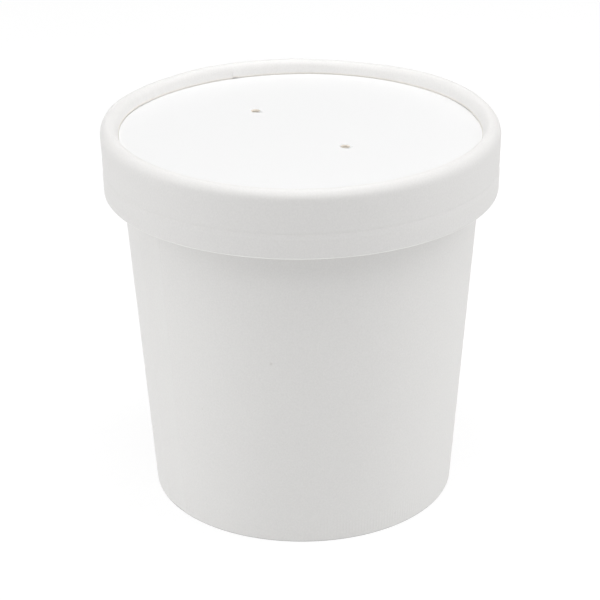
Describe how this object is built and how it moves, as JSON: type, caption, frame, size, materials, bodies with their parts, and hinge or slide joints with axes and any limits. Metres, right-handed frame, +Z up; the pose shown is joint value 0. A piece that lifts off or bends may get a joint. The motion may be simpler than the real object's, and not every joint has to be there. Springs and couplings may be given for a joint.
{
  "type": "paper food container with lid",
  "caption": "Round white paper food container, slightly tapered, shut with a pressed-on vented paper lid; stands on its foot and stacks.",
  "frame": {"origin": "centre of the foot's underside, on the table", "axes": "+Z up along the container's axis; the picture looks along +Y from the front and from above; +X to the picture's right"},
  "size_m": [0.102, 0.102, 0.1014],
  "materials": {
    "sleeve_paper": "matt white coated board",
    "base_paper": "matt white coated board",
    "ring_paper": "matt white coated board",
    "disc_paper": "smooth matt white board"
  },
  "bodies": {
    "root": {"cup_body": "sleeve_paper", "base_panel": "base_paper", "lid_ring": "ring_paper", "lid_disc": "disc_paper"}
  },
  "joints": []
}
